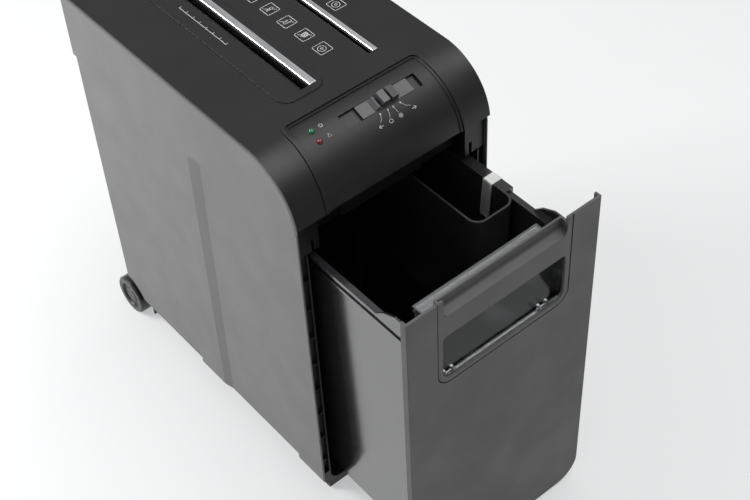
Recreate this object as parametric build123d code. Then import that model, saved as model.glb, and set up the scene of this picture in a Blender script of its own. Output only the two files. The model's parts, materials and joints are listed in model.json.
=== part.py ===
from build123d import *
import os
from math import acos, cos, hypot, pi, radians, sin, tan

# Paper shredder with a pull-out bin, in millimetres, with the bin drawn out as it is when it is emptied.
# Body coordinates: X to the right seen from the front, Y backwards from the front edge of the side panels,
# Z up from the floor. Every piece is shifted to the row frame when it is written (see ROW_SHIFT).

# --- overall size ---------------------------------------------------------------------------------
WIDTH = 210.0
DEPTH = 344.0
TOP_Z = 436.0
HALF = WIDTH / 2
FRONT_RADIUS = 56.6
COVER_OVERHANG = 2.0
COVER_LOW_ANGLE = 84.0
SHEET = 2.5
PANEL_THICK = 4.0
PANEL_EDGE = 1.6
PANEL_RELIEF = 2.7
PANEL_BEVEL = (3.0, 0.9)
PANEL_BOTTOM_Z = 36.8
CABINET_HALF = 100.8
CABINET_BOTTOM_Z = 25.0
OPENING_HALF = 94.5
WHEEL_RADIUS = 22.5
WHEEL_Y = 345.0
WHEEL_WIDTH = 14.0
ARCH_RADIUS = 31.5
NOTCH_Y = 304.0
NOTCH_Z = 54.0
FLANGE_Y = (2.5, 9.0)
GROOVE_LOW_Z = 46.0
RIDGE = 1.4
RIB_PITCH = 36.0
RIB_COUNT = 8
CHEEK_TOP_Z = 391.0

# --- bin ------------------------------------------------------------------------------------------
BIN_OUT = 127.0
BIN_HALF = 88.3
RIM_REACH = 3.8
BIN_FRONT_Y = 3.0
BIN_REAR_Y = 298.0
BIN_FLOOR_Z = 30.0
BIN_RIM_Z = 338.0
BIN_WALL = 2.2
EAR_RISE = 15.0
EAR_LENGTH = 52.0
EAR_THICK = 2.0
DOOR_FRONT_Y = -7.0
DOOR_TOP_Z = 384.4
DOOR_BOTTOM_Z = 3.0
DOOR_FLANGE = 6.5
INSERT_HALF = 73.7
INSERT_BOTTOM_Z = 282.5
INSERT_GAP = 0.8
WINDOW_HALF = 67.5
WINDOW_TOP_Z = 340.5
WINDOW_BOTTOM_Z = 289.0
GRIP_HALF = 67.0
GRIP_DEPTH = 8.0
GRIP_LEDGE_Z = 364.5
GRIP_BACK_TOP_Z = 379.0
TRAY_HALF = 68.2
TRAY_TOP_Z = 350.0
TRAY_REAR_Y = 30.4
TRAY_WALL = 1.8
CD_BIN = (35.0, 81.8, 66.0, 208.0)
CD_BIN_FLOOR_Z = 205.0
CD_BIN_RIM_Z = 341.0

# --- cutting head ---------------------------------------------------------------------------------
DECK_Z = 349.0
DECK_THICK = 3.0
SHAFT_Z = 378.0
PAPER_X = -21.8
PAPER_SHAFT_GAP = 30.1
PAPER_SLOT = (-24.0, -19.6, 84.7, 310.0)
CD_SLOT = (43.2, 47.6, 83.3, 208.0)
CUTTER_RADIUS = 19.0
CUTTER_CORE = 9.8
CUTTER_PITCH = 7.8
CUTTER_TOOTH = 3.7
CUTTER_START_Y = 84.0
CUTTER_COUNT = 29
JOURNAL_RADIUS = 6.0
RUNNING_GAP = 0.05
FRONT_PLATE_Y = (75.0, 79.0)
REAR_PLATE_Y = (315.0, 319.0)
CD_REAR_PLATE_Y = (213.0, 216.0)
CD_CUTTER_RADIUS = 14.5
CD_CORE = 8.0
CD_COUNT = 15
CD_JOURNAL = 4.0
LEFT_SHAFT_X = PAPER_X - PAPER_SHAFT_GAP / 2
RIGHT_SHAFT_X = PAPER_X + PAPER_SHAFT_GAP / 2
CD_LEFT_X = RIGHT_SHAFT_X + 41.35
CD_SHAFT_GAP = 24.1
CD_RIGHT_X = CD_LEFT_X + CD_SHAFT_GAP
SYNC_Y = (320.5, 327.5)
DRIVE_Y = (328.5, 336.0)
CD_SYNC_Y = (217.0, 222.0)
TRANSFER_Y = (67.0, 73.0)
MOTOR_X = 60.0
MOTOR_Z = 384.0
MOTOR_RADIUS = 29.0
MOTOR_FRONT_Y = 226.0
ARMATURE_RADIUS = 18.5
PRESSURE_ANGLE = radians(20)
BACKLASH = 0.16

# --- controls -------------------------------------------------------------------------------------
SLIDER_ANGLE = 21.0
SLIDER_X = 20.8
FASCIA_SLOT = (-25.5, 56.0)
FASCIA_SLOT_WIDTH = 14.0
FASCIA_STEPS = [(3.2, 0.3), (6.0, 1.2)]
LED_X = -52.3
LED_ANGLES = {"power_led": 14.0, "overheat_led": 25.5}
LED_RADIUS = 2.5

ARC_Y = FRONT_RADIUS - COVER_OVERHANG
ARC_Z = TOP_Z - FRONT_RADIUS
PANEL_FRONT_Y = SHEET - COVER_OVERHANG
FRONT_REACH = DOOR_FRONT_Y - BIN_OUT
REAR_REACH = WHEEL_Y + WHEEL_RADIUS
ROW_SHIFT = (0, -(FRONT_REACH + REAR_REACH) / 2, 0)


# --- small helpers --------------------------------------------------------------------------------
def block(x0, x1, y0, y1, z0, z1):
    """Box from its lowest to its highest corner."""
    return Pos((x0 + x1) / 2, (y0 + y1) / 2, (z0 + z1) / 2) * Box(x1 - x0, y1 - y0, z1 - z0)


def outline(points, radii=0):
    """Closed face of straight edges with rounded corners."""
    if radii == 0:
        return make_face(Polyline(*points, close=True))
    return make_face(FilletPolyline(*points, radius=radii, close=True))


def rectangle_points(a0, a1, b0, b1):
    return [(a0, b0), (a1, b0), (a1, b1), (a0, b1)]


def slab_x(face, x0, x1):
    """Face drawn in (y, z), extruded from x0 to x1."""
    return extrude(Plane.YZ.offset(x0) * face, amount=x1 - x0)


def slab_y(face, y0, y1):
    """Face drawn in (x, z), extruded from y0 to y1."""
    return extrude(Plane.XZ.offset(-y1) * face, amount=y1 - y0)


def slab_z(face, z0, z1):
    """Face drawn in (x, y), extruded from z0 to z1."""
    return extrude(Plane.XY.offset(z0) * face, amount=z1 - z0)


def rod_x(radius, x0, x1, y, z):
    return Pos((x0 + x1) / 2, y, z) * Rot(0, 90, 0) * Cylinder(radius, x1 - x0)


def rod_y(radius, y0, y1, x, z):
    return Pos(x, (y0 + y1) / 2, z) * Rot(90, 0, 0) * Cylinder(radius, y1 - y0)


def turned_y(profile, x, z):
    """Solid of revolution about an axis along Y, from (radius, y) points."""
    return Pos(x, 0, z) * revolve(outline(profile), Axis.Y)


def turned_x(profile, y, z):
    """Solid of revolution about an axis along X, from (x, radius) points."""
    return Pos(0, y, z) * revolve(outline(profile), Axis.X)


def mirrored(part):
    return mirror(part, Plane.YZ)


def on_curve(angle, height=0):
    """Plane on the curved front corner, Z outwards; angle in degrees from the top towards the front."""
    reach = FRONT_RADIUS + height
    tilt = radians(angle)
    origin = (0, ARC_Y - reach * sin(tilt), ARC_Z + reach * cos(tilt))
    return Plane(origin=origin, x_dir=(1, 0, 0), z_dir=(0, -sin(tilt), cos(tilt)))


def side_profile(inset, front, bottom, rear=DEPTH):
    """Side outline in (y, z): flat top, large curved front corner, straight front."""
    radius = FRONT_RADIUS - inset
    high = TOP_Z - inset
    lines = Polyline((ARC_Y, high), (rear, high), (rear, bottom), (front, bottom), (front, ARC_Z))
    corner = ThreePointArc(
        (front, ARC_Z),
        (ARC_Y - radius * sin(pi / 4), ARC_Z + radius * cos(pi / 4)),
        (ARC_Y, high),
    )
    return make_face(lines + corner)


def curved_sheet(outer, thick, low_angle=COVER_LOW_ANGLE):
    """Cross-section of a sheet over the top and the curved corner: outer is its height over the skin."""
    r_out = FRONT_RADIUS + outer
    r_in = r_out - thick
    low = radians(low_angle)

    def spot(radius, angle):
        return (ARC_Y - radius * sin(angle), ARC_Z + radius * cos(angle))

    edges = [
        Line((DEPTH, ARC_Z + r_out), (ARC_Y, ARC_Z + r_out)),
        ThreePointArc(spot(r_out, 0), spot(r_out, low / 2), spot(r_out, low)),
        Line(spot(r_out, low), spot(r_in, low)),
        ThreePointArc(spot(r_in, low), spot(r_in, low / 2), spot(r_in, 0)),
        Line((ARC_Y, ARC_Z + r_in), (DEPTH, ARC_Z + r_in)),
        Line((DEPTH, ARC_Z + r_in), (DEPTH, ARC_Z + r_out)),
    ]
    return make_face(Curve() + edges)


# --- gears ----------------------------------------------------------------------------------------
def gear_face(teeth, module, start_angle):
    """Involute gear outline with one tooth centred on start_angle (degrees)."""
    pitch = teeth * module / 2
    base = pitch * cos(PRESSURE_ANGLE)
    tip = pitch + module
    root = pitch - 1.25 * module

    def involute(radius):
        slope = acos(min(1.0, base / radius))
        return tan(slope) - slope

    def half_angle(radius):
        half_tooth = pi / (2 * teeth) - BACKLASH / (2 * pitch)
        return half_tooth + involute(pitch) - involute(max(radius, base))

    radii = [root, max(base, root + 0.1), pitch, tip]
    points = []
    for tooth in range(teeth):
        middle = radians(start_angle) + 2 * pi * tooth / teeth
        for radius in radii:
            turn = middle - half_angle(radius)
            points.append((radius * cos(turn), radius * sin(turn)))
        for radius in reversed(radii):
            turn = middle + half_angle(radius)
            points.append((radius * cos(turn), radius * sin(turn)))
    return outline(points)


def gear(teeth, module, bore, span, x, z, start_angle):
    """Spur gear along Y with a bore."""
    blank = slab_y(gear_face(teeth, module, start_angle), *span)
    return Pos(x, 0, z) * (blank - rod_y(bore, span[0], span[1], 0, 0))


def direction(x0, z0, x1, z1):
    """Angle in degrees from one shaft towards another, in the (x, z) view."""
    length = hypot(x1 - x0, z1 - z0)
    turn = acos((x1 - x0) / length) * 180 / pi
    return turn if z1 >= z0 else -turn


def facing_gap(angle, teeth):
    """Start angle that puts a gap where the mating gear's tooth points."""
    return angle + 180 + 180 / teeth


# --- outer casing ---------------------------------------------------------------------------------
def relief_pocket(floor_points, rim_points, radii):
    """Shallow pocket in the right panel's outer face, with sloping sides."""
    floor_face = Plane.YZ.offset(HALF - PANEL_RELIEF) * outline(floor_points, radii)
    rim_face = Plane.YZ.offset(HALF + 0.01) * outline(rim_points, radii)
    return loft([floor_face, rim_face], ruled=True)


def panel_bevel():
    """Ring cut off the right panel's outer edge, along the top and round the curved corner."""
    across, deep = PANEL_BEVEL
    outer = side_profile(SHEET, PANEL_FRONT_Y, ARC_Z - 1)
    inner = side_profile(SHEET + across, PANEL_FRONT_Y + across, ARC_Z - 1)
    core = loft([Plane.YZ.offset(HALF - deep) * outer, Plane.YZ.offset(HALF + 0.01) * inner], ruled=True)
    return slab_x(outer, HALF - deep, HALF + 0.01) - core


def make_side_panel():
    """Right side panel: moulded sheet with two sunk areas, a thin front edge and an arch for the wheel."""
    body = slab_x(side_profile(SHEET, PANEL_FRONT_Y, PANEL_BOTTOM_Z), HALF - PANEL_THICK, HALF)
    outer_rim = body.faces().sort_by(Axis.X)[-1].outer_wire().edges()
    body = chamfer(outer_rim, 0.6)
    body -= panel_bevel()
    body -= block(0, HALF - PANEL_EDGE, -1, FLANGE_Y[1] + 0.2, 0, CHEEK_TOP_Z + 1)
    body -= rod_x(ARCH_RADIUS, HALF - 10, HALF + 10, WHEEL_Y, WHEEL_RADIUS)
    below = PANEL_BOTTOM_Z - 8
    behind = DEPTH + 8
    rear_rim = [(203, below), (behind, below), (behind, 363), (203, 363)]
    rear_floor = [(206.5, below), (behind, below), (behind, 359.5), (206.5, 359.5)]
    body -= relief_pocket(rear_floor, rear_rim, [0, 0, 0, 28])
    front_rim = [(39, below), (164, below), (158.5, 363), (59, 363)]
    front_floor = [(42.5, below), (153.5, below), (144, 359.5), (62.5, 359.5)]
    body -= relief_pocket(front_floor, front_rim, [0, 0, 7, 42])
    return body


def make_cabinet_shell():
    """Black inner cabinet: side walls, floor with a step over the axle, and a grooved front flange."""
    corner = 12.0
    top = DECK_Z - 1

    def section(half, low, high):
        points = [(-half, high), (-half, low), (half, low), (half, high)]
        return outline(points, [0, corner, corner, 0])

    body = slab_y(section(CABINET_HALF, CABINET_BOTTOM_Z, top), 5, DEPTH - 3)
    body -= slab_y(section(CABINET_HALF - SHEET, CABINET_BOTTOM_Z + SHEET, DECK_Z + 20), 0, DEPTH)
    notch = block(-HALF, HALF, NOTCH_Y, DEPTH, 0, NOTCH_Z)
    body -= notch
    body += block(-CABINET_HALF, CABINET_HALF, NOTCH_Y - SHEET, NOTCH_Y, CABINET_BOTTOM_Z, NOTCH_Z)
    body += block(-CABINET_HALF, CABINET_HALF, NOTCH_Y - SHEET, DEPTH - 3, NOTCH_Z, NOTCH_Z + SHEET)
    flange_half = HALF - PANEL_EDGE - 0.1
    front, back = FLANGE_Y
    body += slab_y(section(flange_half, CABINET_BOTTOM_Z, top), front, back)
    body -= slab_y(section(OPENING_HALF, CABINET_BOTTOM_Z + 4, DECK_Z + 20), 0, back + 2)
    groove_in, groove_out = OPENING_HALF + RIDGE, flange_half - RIDGE
    for side in (-1, 1):
        x0, x1 = sorted((side * groove_in, side * groove_out))
        body -= block(x0, x1, front - 1, back - 2, GROOVE_LOW_Z, top + 1)
        for rib in range(RIB_COUNT):
            z = GROOVE_LOW_Z + (rib + 0.5) * RIB_PITCH
            body += block(x0, x1, front + 1, back - 2, z, z + 1.2)
    return body


def make_back_panel():
    """Rear cover with cooling slots and the power inlet's opening."""
    body = block(-CABINET_HALF, CABINET_HALF, DEPTH - 3, DEPTH, NOTCH_Z, TOP_Z - SHEET)
    for row in range(2):
        for slot in range(12):
            x = 14 + 6.5 * slot
            z = 372 + 26 * row
            body -= block(x, x + 2.8, DEPTH - 4, DEPTH + 1, z, z + 20)
    body -= block(-88, -60, DEPTH - 4, DEPTH + 1, 365, 385)
    panel_rib = block(-88, 88, DEPTH - 3.6, DEPTH - 3, 70, 336)
    body -= block(-84, 84, DEPTH - 0.8, DEPTH + 1, 74, 332)
    return body + panel_rib


def fascia_cutter(grow, low_s=60.0):
    """Prism at 45 degrees whose outline is the control fascia's, grown by a margin."""
    plane = on_curve(45, -20)
    top_s = 46 + grow
    points = [(-76.5 - grow, -low_s), (79 + grow, -low_s), (74 + grow, top_s), (-72.5 - grow, top_s)]
    return extrude(plane * outline(points, [0, 0, 9 + grow, 9 + grow]), amount=60)


def make_top_cover():
    """Top cover: sheet that rolls over the front corner, open for the inlet, disc slot and fascia."""
    body = slab_x(curved_sheet(0, SHEET), -HALF, HALF)
    body -= fascia_cutter(0)
    plate = outline(rectangle_points(-52.5, -6.5, 77, 322), 12)
    body -= slab_z(plate, TOP_Z - 10, TOP_Z + 1)
    x0, x1, y0, y1 = CD_SLOT
    body -= block(x0, x1 + 5.5, y0, y1, TOP_Z - 10, TOP_Z + 1)
    body -= block(-HALF - 1, HALF + 1, DEPTH - 3, DEPTH + 1, 0, TOP_Z - SHEET)
    return body


def lead_in(x0, x1, y0, y1, depth):
    """Sloping groove that steers a sheet into a slot."""
    slope = [(x0 - 7.5, TOP_Z + 2), (x1, TOP_Z + 2), (x1, TOP_Z - depth), (x0, TOP_Z - depth)]
    return slab_y(outline(slope), y0, y1)


def make_inlet_plate():
    """Raised plate around the paper slot, with a sloping lead-in and a seat for the trim bar."""
    x0, x1, y0, y1 = PAPER_SLOT
    body = slab_z(outline(rectangle_points(-52.3, -6.7, 77.2, 321.8), 11.8), TOP_Z - SHEET, TOP_Z + 0.6)
    body += block(-34, -9.5, y0 - 4, y1 + 4, TOP_Z - 8, TOP_Z - SHEET)
    body -= lead_in(x0, x1, y0, y1, 5)
    body -= block(x0, x1, y0, y1, TOP_Z - 10, TOP_Z + 2)
    body -= block(x1, x1 + 7.2, y0, y1, TOP_Z - 2, TOP_Z + 2)
    return body


def make_trim(slot, width):
    """Bright bar along the right side of a slot."""
    x1 = slot[1]
    bar = block(x1, x1 + width, slot[2] + 0.1, slot[3] - 0.1, TOP_Z - 2, TOP_Z + 1.4)
    return chamfer(bar.faces().sort_by(Axis.Z)[-1].edges(), 0.5)


def make_cd_trim():
    """Bright bar beside the CD slot with a collar that lines the slot."""
    x0, x1, y0, y1 = CD_SLOT
    bar = block(x1, x1 + 5.3, y0 + 0.1, y1 - 0.1, TOP_Z - SHEET, TOP_Z + 1.2)
    return chamfer(bar.faces().sort_by(Axis.Z)[-1].edges(), 0.5)


def make_fascia():
    """Curved control panel with a raised lip, a sunk field, the slider slot and two lamp holes."""
    sheet = slab_x(curved_sheet(0.9, 4.6), -HALF, HALF)
    body = sheet & fascia_cutter(-0.4)
    for shrink, depth in FASCIA_STEPS:
        body -= fascia_cutter(-shrink) & slab_x(curved_sheet(2.0, 2.0 + depth, low_angle=88), -HALF, HALF)
    slot_plane = on_curve(SLIDER_ANGLE, -8)
    middle = (FASCIA_SLOT[0] + FASCIA_SLOT[1]) / 2
    slot_points = rectangle_points(*FASCIA_SLOT, -FASCIA_SLOT_WIDTH / 2, FASCIA_SLOT_WIDTH / 2)
    body -= extrude(slot_plane * outline(slot_points, 1.2), amount=14)
    for angle in LED_ANGLES.values():
        body -= on_curve(angle, -6) * Pos(LED_X, 0, 6) * Cylinder(LED_RADIUS, 14)
    return body


def make_led(angle):
    """Round lamp with a domed end and a collar behind the fascia."""
    stem = Cylinder(LED_RADIUS, 5.0, align=(Align.CENTER, Align.CENTER, Align.MIN))
    dome = Pos(0, 0, 5.0) * Sphere(LED_RADIUS)
    collar = Pos(0, 0, 0.3) * Cylinder(LED_RADIUS + 0.5, 1.0, align=(Align.CENTER, Align.CENTER, Align.MIN))
    return on_curve(angle, -5.9) * Pos(LED_X, 0, 0) * (stem + dome + collar)


def slider_place():
    return on_curve(SLIDER_ANGLE)


def make_mode_switch():
    """Slide switch body under the fascia; its flat top is the floor of the slot."""
    x0, x1 = FASCIA_SLOT
    length = x1 - x0 + 10
    base = Pos((x0 + x1) / 2, 0, -9.0) * Box(length, 19, 9)
    return slider_place() * base


def make_mode_slider():
    """Slider: flat carrier plate, two grip blocks with a pointer groove and a ramp on the left."""
    half_width = FASCIA_SLOT_WIDTH / 2 - 0.4
    plate_top = 2.6
    plate = Pos(-1.5, 0, plate_top / 2) * Box(55, 2 * half_width, plate_top)
    ramp = [(-17, plate_top - 0.5), (-12.6, 5.8), (-11.2, 5.8), (-10.2, plate_top - 0.5)]
    grip = [(-8.8, plate_top - 0.5), (-8.0, 9.2), (-1.6, 10.0), (-0.9, 9.6), (-0.8, plate_top - 0.5)]
    grip_half = half_width - 0.8
    raised = [slab_y(outline(shape), -grip_half, grip_half) for shape in (ramp, grip)]
    body = plate
    for piece in (*raised, mirrored(raised[1])):
        body += piece
    return slider_place() * Pos(SLIDER_X, 0, -4.3) * body


def make_front_frame():
    """Black frame seen under the cover: two cheeks beside the bin and a housing block over it."""
    low = DECK_Z - 1
    outer = HALF - PANEL_EDGE - 0.1
    cheek = block(81, outer, 4, 7, low, CHEEK_TOP_Z)
    cheek -= block(BIN_HALF - EAR_THICK - 0.6, BIN_HALF + 0.6, 3, 8, low - 1, low + 13)
    cheek += block(81, 83, 4, 66, low, CHEEK_TOP_Z)
    body = cheek + mirrored(cheek)
    body += block(-81, 81, 17, 20, DECK_Z + 6, 388)
    body += block(-50, 38, 12.5, 17, DECK_Z + 8, 374)
    body += block(-83, 83, 20, 66, DECK_Z + 6, DECK_Z + 8.5)
    return body


def make_head_deck():
    """Plate that closes the bin bay and carries the cutting head."""
    body = block(-98.4, 98.4, 66, DEPTH - 4, DECK_Z, DECK_Z + DECK_THICK)
    body -= block(-56, 12, 82, 313, DECK_Z - 1, DECK_Z + DECK_THICK + 1)
    body -= block(CD_LEFT_X - 15, CD_RIGHT_X + 15, 82, 211, DECK_Z - 1, DECK_Z + DECK_THICK + 1)
    body -= block(RIGHT_SHAFT_X - 24, RIGHT_SHAFT_X + 24, 327, DEPTH, DECK_Z - 1, DECK_Z + DECK_THICK + 1)
    return body


def make_chute(slot, low_half, centre):
    """Funnel that leads from a slot to the nip of its cutters."""
    x0, x1, y0, y1 = slot
    top_z = TOP_Z - 8.2
    low_z = SHAFT_Z + 20.2

    def funnel(grow):
        ends = (y0 - grow, y1 + grow)
        upper = rectangle_points(x0 - grow, x1 + grow, *ends)
        lower = rectangle_points(centre - low_half - grow, centre + low_half + grow, *ends)
        top = Plane.XY.offset(top_z) * outline(upper)
        bottom = Plane.XY.offset(low_z) * outline(lower)
        return loft([bottom, top], ruled=True)

    return funnel(1.6) - funnel(0)


def bearing_plate(x0, x1, span, z_top, shafts):
    """Steel plate across the head, with holes for the bushes."""
    body = block(x0, x1, span[0], span[1], DECK_Z + DECK_THICK, z_top)
    for x, z, radius in shafts:
        body -= rod_y(radius, span[0] - 1, span[1] + 1, x, z)
    return body


PAPER_SHAFTS = [(LEFT_SHAFT_X, SHAFT_Z, 8.5), (RIGHT_SHAFT_X, SHAFT_Z, 8.5)]
CD_SHAFTS = [(CD_LEFT_X, SHAFT_Z, 6.5), (CD_RIGHT_X, SHAFT_Z, 6.5)]
ROD_SPOTS = [(-72, 366), (-72, 404), (86, 358)]
IDLER_REACH_MOTOR = 31.1
IDLER_REACH_DRIVE = 40.6


def idler_spot():
    """Shaft place of the reduction gear, above the line from the motor to the driven cutter."""
    dx = RIGHT_SHAFT_X - MOTOR_X
    dz = SHAFT_Z - MOTOR_Z
    gap = hypot(dx, dz)
    along = (IDLER_REACH_MOTOR**2 - IDLER_REACH_DRIVE**2 + gap**2) / (2 * gap)
    across = (IDLER_REACH_MOTOR**2 - along**2) ** 0.5
    return (MOTOR_X + dx / gap * along + dz / gap * across, MOTOR_Z + dz / gap * along - dx / gap * across)


IDLER_X, IDLER_Z = idler_spot()


def make_front_plate():
    body = bearing_plate(-88, 92, FRONT_PLATE_Y, 414, PAPER_SHAFTS + CD_SHAFTS)
    return body - [rod_y(2.5, 70, 84, x, z) for x, z in ROD_SPOTS]


def make_rear_plate():
    motor_hole = [(MOTOR_X, MOTOR_Z, 12.0), (IDLER_X, IDLER_Z, 3.0)]
    body = bearing_plate(-88, 95, REAR_PLATE_Y, 424, PAPER_SHAFTS + motor_hole)
    return body - [rod_y(2.5, 312, 322, x, z) for x, z in ROD_SPOTS]


def make_cd_rear_plate():
    body = bearing_plate(CD_LEFT_X - 14, 92, CD_REAR_PLATE_Y, 398, CD_SHAFTS)
    return body - rod_y(2.5, 210, 220, *ROD_SPOTS[2])


def make_bushes():
    """Flanged bearing bushes, one set in each plate."""
    spots = []
    for x, z, outer in PAPER_SHAFTS:
        spots += [(x, z, outer, JOURNAL_RADIUS, FRONT_PLATE_Y), (x, z, outer, JOURNAL_RADIUS, REAR_PLATE_Y)]
    for x, z, outer in CD_SHAFTS:
        spots += [(x, z, outer, CD_JOURNAL, FRONT_PLATE_Y), (x, z, outer, CD_JOURNAL, CD_REAR_PLATE_Y)]
    return [
        rod_y(outer, span[0], span[1], x, z) - rod_y(inner + RUNNING_GAP, span[0] - 1, span[1] + 1, x, z)
        for x, z, outer, inner, span in spots
    ]


def make_tie_rods():
    return [rod_y(2.5, FRONT_PLATE_Y[0] - 3, REAR_PLATE_Y[1] + 3, x, z) for x, z in ROD_SPOTS]


def cutter(x, offset, discs, first, last, end):
    """Shaft turned in one piece with its cutting discs; discs holds their count and the shaft's radii."""
    count, outer, core, journal = discs
    shoulder = FRONT_PLATE_Y[1] + 0.6
    profile = [(0, first), (journal, first), (journal, shoulder), (core, shoulder)]
    for disc in range(count):
        y = CUTTER_START_Y + offset + disc * CUTTER_PITCH
        profile += [(core, y), (outer, y), (outer, y + CUTTER_TOOTH), (core, y + CUTTER_TOOTH)]
    profile += [(core, last), (journal, last), (journal, end), (0, end)]
    return turned_y(profile, x, SHAFT_Z)


def make_comb(side):
    """Comb of thin fingers between the discs, which strips the paper strips off the shaft."""
    shaft_x = LEFT_SHAFT_X if side < 0 else RIGHT_SHAFT_X
    offset = 0 if side < 0 else CUTTER_PITCH / 2
    x_far = shaft_x + side * 26
    x_near = shaft_x + side * 11.5
    rail_near = shaft_x + side * 20.5
    low, high = SHAFT_Z - 3, SHAFT_Z + 3
    rail = block(min(rail_near, x_far), max(rail_near, x_far), FRONT_PLATE_Y[1], REAR_PLATE_Y[0], low, high)
    for disc in range(CUTTER_COUNT - 1):
        y = CUTTER_START_Y + offset + disc * CUTTER_PITCH + CUTTER_TOOTH + 1.0
        finger = block(min(x_near, rail_near), max(x_near, rail_near), y, y + 2.1, low, high)
        rail += finger
    return rail


def make_motor_body():
    """Motor can on the rear bearing plate, hollow round the armature, with a bearing boss in front."""
    y0, y1 = MOTOR_FRONT_Y, REAR_PLATE_Y[0]
    can = rod_y(MOTOR_RADIUS, y0 + 8, y1 - 8, MOTOR_X, MOTOR_Z)
    can += rod_y(MOTOR_RADIUS - 3, y0 + 2, y1, MOTOR_X, MOTOR_Z)
    can += rod_y(11, y0, y0 + 4, MOTOR_X, MOTOR_Z)
    can -= rod_y(ARMATURE_RADIUS + 1.5, y0 + 10, y1 - 10, MOTOR_X, MOTOR_Z)
    return can - rod_y(4.0 + RUNNING_GAP, y0 - 1, y1 + 1, MOTOR_X, MOTOR_Z)


def make_power_inlet():
    """Two-pin power inlet in the rear cover."""
    body = block(-87.8, -60.2, DEPTH - 20, DEPTH - 0.5, 365.2, 384.8)
    body -= slab_y(outline(rectangle_points(-84, -64, 369, 381), 4), DEPTH - 13, DEPTH + 1)
    for x in (-78.3, -69.7):
        body += rod_y(1.2, DEPTH - 14, DEPTH - 4, x, 375)
    return body


def make_runners():
    """Slide rails on the cabinet floor that carry the bin."""
    return [block(x - 5, x + 5, 14, NOTCH_Y - SHEET - 1, CABINET_BOTTOM_Z + SHEET, 29.4) for x in (-60, 60)]


def make_axle_brackets():
    """Two hangers under the cabinet step that hold the rear axle."""
    shape = [(NOTCH_Y, NOTCH_Z), (NOTCH_Y, 40), (WHEEL_Y - 9, 14), (WHEEL_Y + 6, 14), (WHEEL_Y + 6, 30)]
    shape += [(DEPTH - 3, NOTCH_Z)]
    brackets = []
    for x in (-78, 72):
        hanger = slab_x(outline(shape), x, x + 6)
        brackets.append(hanger - rod_x(3.0, x - 1, x + 7, WHEEL_Y, WHEEL_RADIUS))
    return brackets


def make_wheel_hub():
    """Right wheel: dished disc with a hub that turns on the axle."""
    inner, outer = HALF - WHEEL_WIDTH, HALF
    rim = WHEEL_RADIUS - 5
    bore = 3.0 + RUNNING_GAP
    dish, cap = outer - 2.2, outer - 1.2
    profile = [(inner, bore), (inner, 7), (inner + 3, 7), (inner + 3, rim - 3), (inner, rim - 3)]
    profile += [(inner, rim), (outer, rim), (outer, rim - 2.3), (dish, rim - 3.3), (dish, 9.4)]
    profile += [(cap, 8.6), (cap, 0), (cap - 1.2, 0), (cap - 1.2, bore)]
    return turned_x(profile, WHEEL_Y, WHEEL_RADIUS)


def make_tyre():
    """Right wheel's tyre with rounded shoulders."""
    inner, outer = HALF - WHEEL_WIDTH, HALF
    rim = WHEEL_RADIUS - 5
    profile = [(inner, rim), (outer, rim), (outer, WHEEL_RADIUS - 1.5), (outer - 1.5, WHEEL_RADIUS)]
    profile += [(inner + 1.5, WHEEL_RADIUS), (inner, WHEEL_RADIUS - 1.5)]
    return turned_x(profile, WHEEL_Y, WHEEL_RADIUS)


# --- bin ------------------------------------------------------------------------------------------
def make_bin_body():
    """Open bin: drafted walls, a folded rim with two ridges, and ears beside the front."""
    half = BIN_HALF - RIM_REACH
    foot = half - 5

    def tub(inset, low, high):
        base = rectangle_points(-foot + inset, foot - inset, BIN_FRONT_Y + inset, BIN_REAR_Y - 8 - inset)
        top = rectangle_points(-half + inset, half - inset, BIN_FRONT_Y + inset, BIN_REAR_Y - 3 - inset)
        floor_face = Plane.XY.offset(low) * outline(base, 9 - inset)
        rim_face = Plane.XY.offset(high) * outline(top, 9 - inset)
        return loft([floor_face, rim_face], ruled=True)

    body = tub(0, BIN_FLOOR_Z, BIN_RIM_Z)
    for drop, reach, tall in ((0, RIM_REACH, 3.5), (12, 1.8, 3.0)):
        z1 = BIN_RIM_Z - drop
        ring = rectangle_points(-half - reach, half + reach, BIN_FRONT_Y, BIN_REAR_Y - 3 + reach)
        body += slab_z(outline(ring, [2, 2, 9, 9]), z1 - tall, z1)
    for side in (-1, 1):
        x0 = min(side * (BIN_HALF - EAR_THICK), side * BIN_HALF)
        ear = [(BIN_FRONT_Y, BIN_RIM_Z - 1), (EAR_LENGTH, BIN_RIM_Z - 1), (EAR_LENGTH - 10, BIN_RIM_Z + 8)]
        ear += [(27, BIN_RIM_Z + EAR_RISE), (BIN_FRONT_Y, BIN_RIM_Z + EAR_RISE)]
        body += slab_x(outline(ear, [0, 0, 12, 8, 3]), x0, x0 + EAR_THICK)
    cavity = tub(BIN_WALL, BIN_FLOOR_Z, BIN_RIM_Z + 0.01)
    body -= cavity - block(-HALF, HALF, 0, DEPTH, 0, BIN_FLOOR_Z + BIN_WALL)
    body -= block(-half + 6, half - 6, 0, BIN_FRONT_Y + 6, BIN_RIM_Z - 60, BIN_RIM_Z + 20)
    return body


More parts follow.
